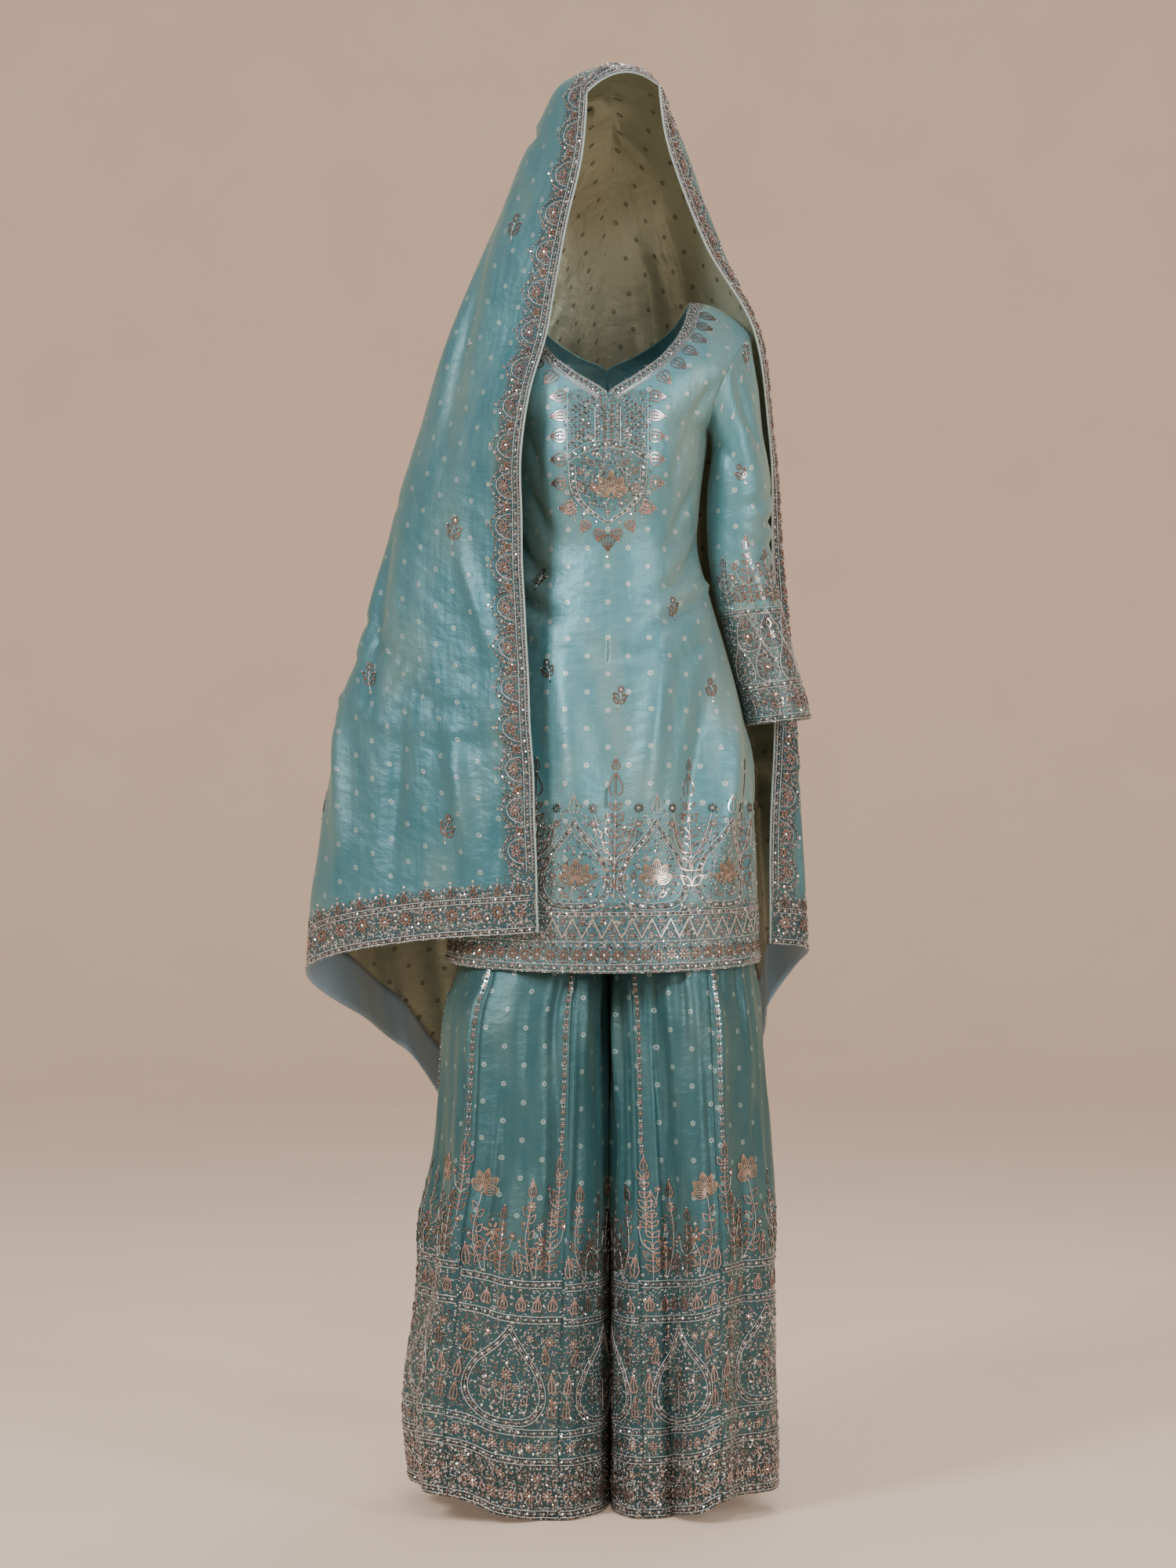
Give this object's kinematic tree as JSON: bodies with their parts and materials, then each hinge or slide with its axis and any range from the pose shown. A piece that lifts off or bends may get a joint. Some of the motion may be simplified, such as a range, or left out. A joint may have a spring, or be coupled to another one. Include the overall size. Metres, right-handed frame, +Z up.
{
  "type": "palazzo suit",
  "caption": "Worn three-piece suit: long-sleeved kurta with side slits, wide panelled palazzo trousers and a veil cloth over the head.",
  "frame": {"origin": "middle of the kurta's shoulder line, between the two shoulder seams, where the wearer carries it", "axes": "+Z up, +Y backwards, +X to the right as seen from the front"},
  "size_m": [0.6307, 0.4337, 1.778],
  "materials": {
    "kurta_cloth": "teal tissue silk with a gold sheen, silver woven spots and bead embroidery",
    "trouser_cloth": "teal tissue silk with a gold sheen, silver woven spots and bead embroidery",
    "veil_cloth": "teal tissue silk, olive gold on its inner face, with silver woven spots",
    "satin_facing": "dusty blue satin",
    "metal_thread": "silver and rose metal thread, beads and sequins"
  },
  "bodies": {
    "root": {"kurta_front": "kurta_cloth", "kurta_back": "kurta_cloth", "sleeve_left": "kurta_cloth", "sleeve_right": "kurta_cloth", "leg_left_kali_1": "trouser_cloth", "leg_left_kali_2": "trouser_cloth", "leg_left_kali_3": "trouser_cloth", "leg_left_kali_4": "trouser_cloth", "leg_left_kali_5": "trouser_cloth", "leg_left_kali_6": "trouser_cloth", "leg_right_kali_1": "trouser_cloth", "leg_right_kali_2": "trouser_cloth", "leg_right_kali_3": "trouser_cloth", "leg_right_kali_4": "trouser_cloth", "leg_right_kali_5": "trouser_cloth", "leg_right_kali_6": "trouser_cloth", "trouser_waistband": "trouser_cloth", "dupatta": "veil_cloth", "dupatta_facing_left": "satin_facing", "dupatta_facing_right": "satin_facing", "dupatta_piping": "metal_thread"}
  },
  "joints": []
}
